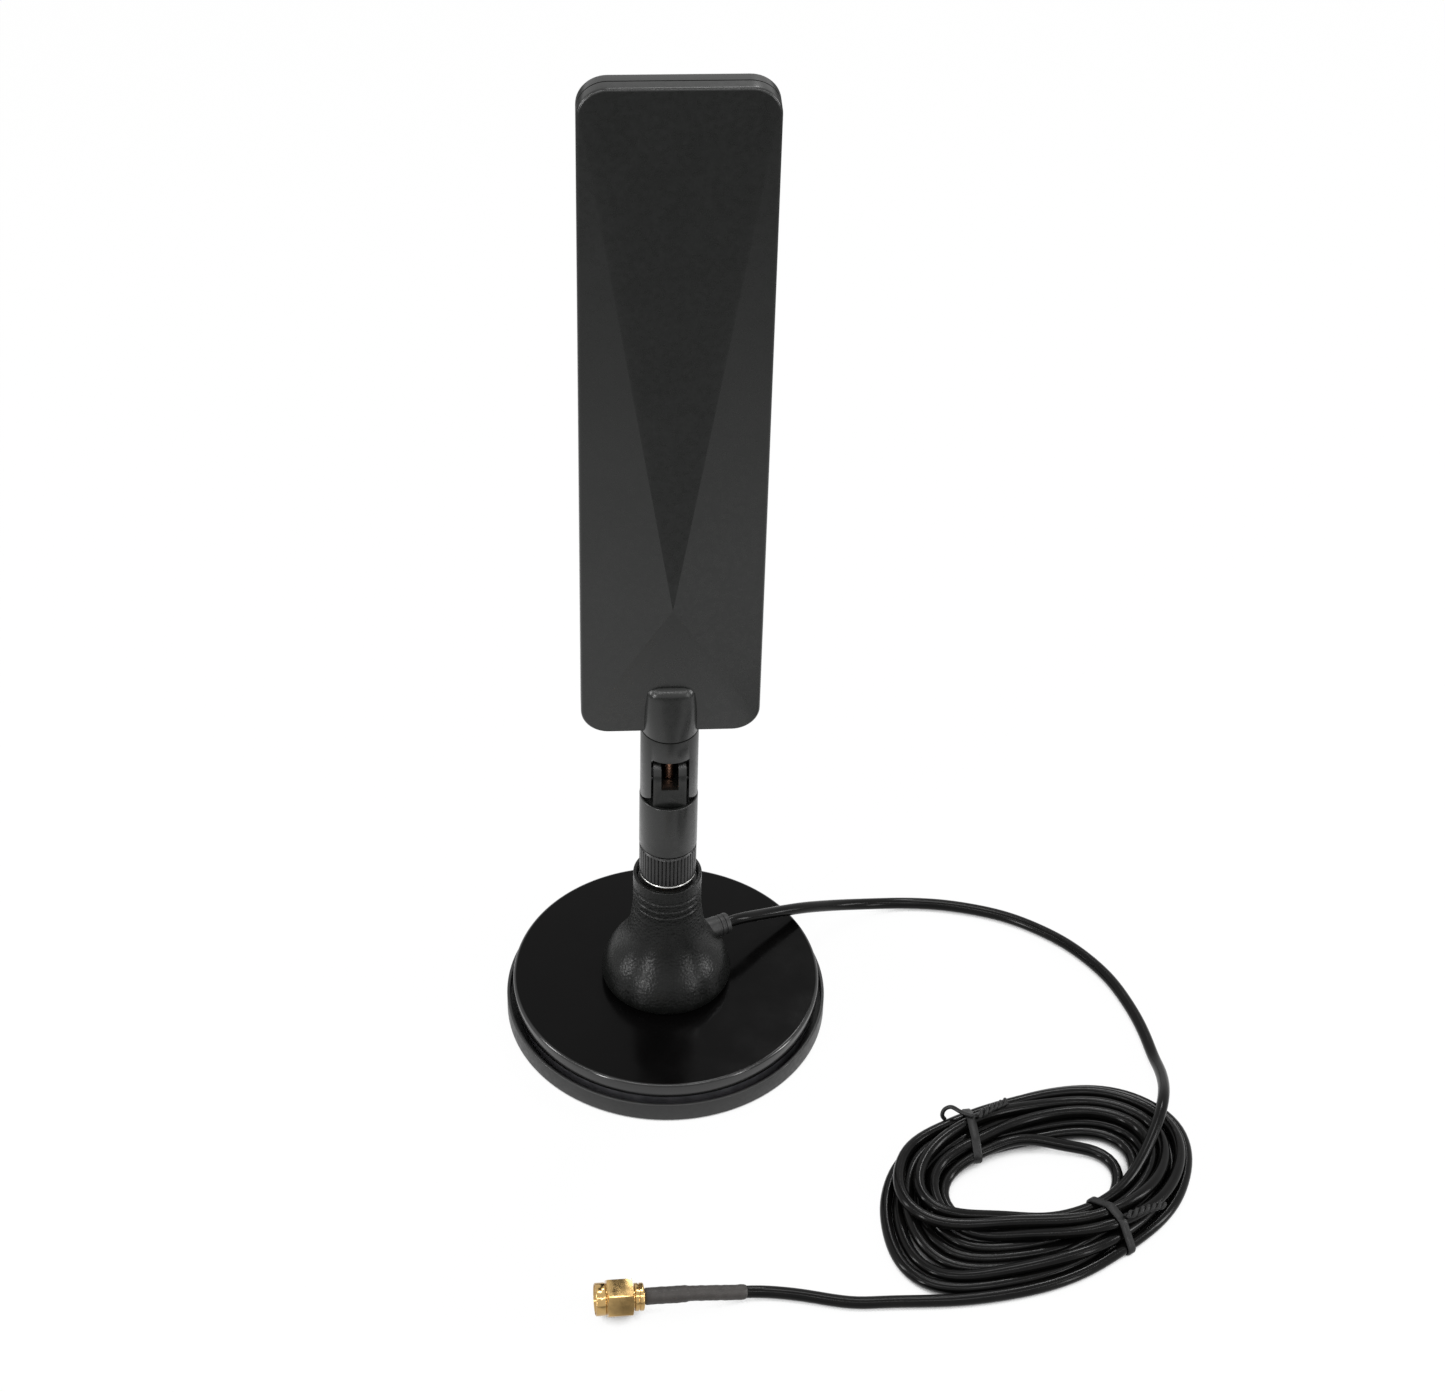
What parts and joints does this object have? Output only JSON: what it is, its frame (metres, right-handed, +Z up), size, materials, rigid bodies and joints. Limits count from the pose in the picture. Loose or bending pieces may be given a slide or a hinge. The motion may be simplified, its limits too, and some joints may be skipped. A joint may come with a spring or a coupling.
{
  "type": "paddle antenna",
  "caption": "Flat blade antenna on a hinge, standing on a round magnetic base with a thin coaxial lead, coiled and tied, that ends in a threaded plug.",
  "frame": {"origin": "centre of the stand's underside", "axes": "+Z up along the stand and the blade, -Y towards the blade's front"},
  "size_m": [0.1566, 0.1369, 0.2545],
  "materials": {
    "boot_rubber": "satin",
    "cover_lacquer": "gloss",
    "magnet": "matte",
    "screw_steel": "satin",
    "bell_finish": "textured, half gloss",
    "gold_plate": "polished",
    "dielectric": "satin",
    "black_metal": "half gloss",
    "shell_plastic": "satin",
    "copper_braid": "woven",
    "board_laminate": "satin",
    "cable_jacket": "gloss",
    "shrink_sleeve": "matte",
    "tie_plastic": "satin"
  },
  "bodies": {
    "stand": {"base_boot": "boot_rubber", "base_magnet": "magnet", "base_cover": "cover_lacquer", "base_screw_1": "screw_steel", "base_screw_2": "screw_steel", "base_screw_3": "screw_steel", "stand_bell": "bell_finish", "cable_gland": "boot_rubber", "stand_jack": "gold_plate", "jack_nut": "gold_plate", "jack_insulator": "dielectric", "jack_contact": "gold_plate", "inner_lead": "cable_jacket", "cable_lead": "cable_jacket", "cable_coil": "cable_jacket", "cable_tail": "cable_jacket", "tie_upper": "tie_plastic", "tie_lower": "tie_plastic", "plug_sleeve": "shrink_sleeve", "plug_body": "gold_plate", "plug_insulator": "dielectric", "plug_pin": "gold_plate", "plug_ring": "gold_plate"},
    "antenna_connector": {"connector_body": "black_metal", "connector_insulator": "dielectric", "connector_pin": "gold_plate", "connector_ring": "black_metal"},
    "coupling_nut": {"coupling_nut": "black_metal"},
    "lower_knuckle": {"lower_knuckle": "shell_plastic", "feed_coax_lower": "copper_braid"},
    "paddle": {"upper_knuckle": "shell_plastic", "feed_coax_upper": "copper_braid", "front_shell": "shell_plastic", "back_shell": "shell_plastic", "antenna_board": "board_laminate"},
    "plug_nut": {"plug_nut": "gold_plate"}
  },
  "joints": [
    {"name": "connector_slide", "type": "slide", "parent": "stand", "child": "antenna_connector", "axis": [0, 0, 1], "range_m": [0, 0.00353]},
    {"name": "nut_turn", "type": "hinge", "parent": "antenna_connector", "child": "coupling_nut", "pos_m": [0, 0, 0.0446], "axis": [0, 0, 1], "range_deg": [0, 1800]},
    {"name": "swivel", "type": "hinge", "parent": "antenna_connector", "child": "lower_knuckle", "pos_m": [0, 0, 0.0543], "axis": [0, 0, 1], "range_deg": [-180, 180]},
    {"name": "hinge", "type": "hinge", "parent": "lower_knuckle", "child": "paddle", "pos_m": [0, 0, 0.0767], "axis": [1, 0, 0], "range_deg": [0, 90]},
    {"name": "plug_nut_turn", "type": "hinge", "parent": "stand", "child": "plug_nut", "pos_m": [-0.0198, -0.0944, 0.00506], "axis": [0.9966, 0.0732, -0.0384], "continuous": true}
  ],
  "couplings": [
    {"joint": "nut_turn", "follows": "connector_slide", "rad_per_m": 8904.7}
  ]
}
